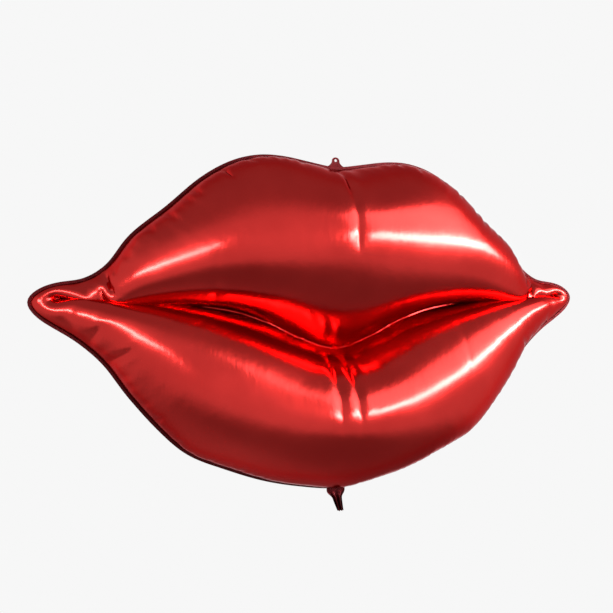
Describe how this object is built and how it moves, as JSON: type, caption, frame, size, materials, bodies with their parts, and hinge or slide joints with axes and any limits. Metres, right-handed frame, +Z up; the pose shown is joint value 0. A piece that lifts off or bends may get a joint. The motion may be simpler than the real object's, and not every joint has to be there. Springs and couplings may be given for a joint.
{
  "type": "lip-shaped foil balloon",
  "caption": "Blown-up red foil balloon shaped like a pair of lips: films heat-sealed round the edge and along the mouth, with a hanging tab and a filling tail with a flat valve.",
  "frame": {"origin": "centre of the hole in the hanging tab, in the plane of the seam", "axes": "+X along the mouth, to the right of someone who faces the front; +Y from the front to the rear, along the hole; +Z up"},
  "size_m": [0.8123, 0.1936, 0.5114],
  "materials": {
    "red_foil": "red metallised film, mirror-like with a satin haze",
    "sealant": "fused milky sealant layer",
    "clear_film": "clear slightly milky film"
  },
  "bodies": {
    "tab": {"hanging_tab": "red_foil"},
    "envelope": {"front_panel": "red_foil", "rear_panel": "red_foil", "perimeter_seal": "sealant", "mouth_seal": "sealant", "valve_front_ply": "clear_film", "valve_rear_ply": "clear_film"},
    "tail": {"tail_front_ply": "red_foil", "tail_rear_ply": "red_foil", "tail_edge_seals": "sealant", "tail_valve_front_ply": "clear_film", "tail_valve_rear_ply": "clear_film"}
  },
  "joints": [
    {"name": "tab_swing", "type": "hinge", "parent": "tab", "child": "envelope", "pos_m": [0, 0, -0.008], "axis": [1, 0, 0], "range_deg": [-60, 60]},
    {"name": "tail_fold", "type": "hinge", "parent": "envelope", "child": "tail", "pos_m": [0, 0, -0.47244], "axis": [1, 0, 0], "range_deg": [-85, 85]}
  ]
}
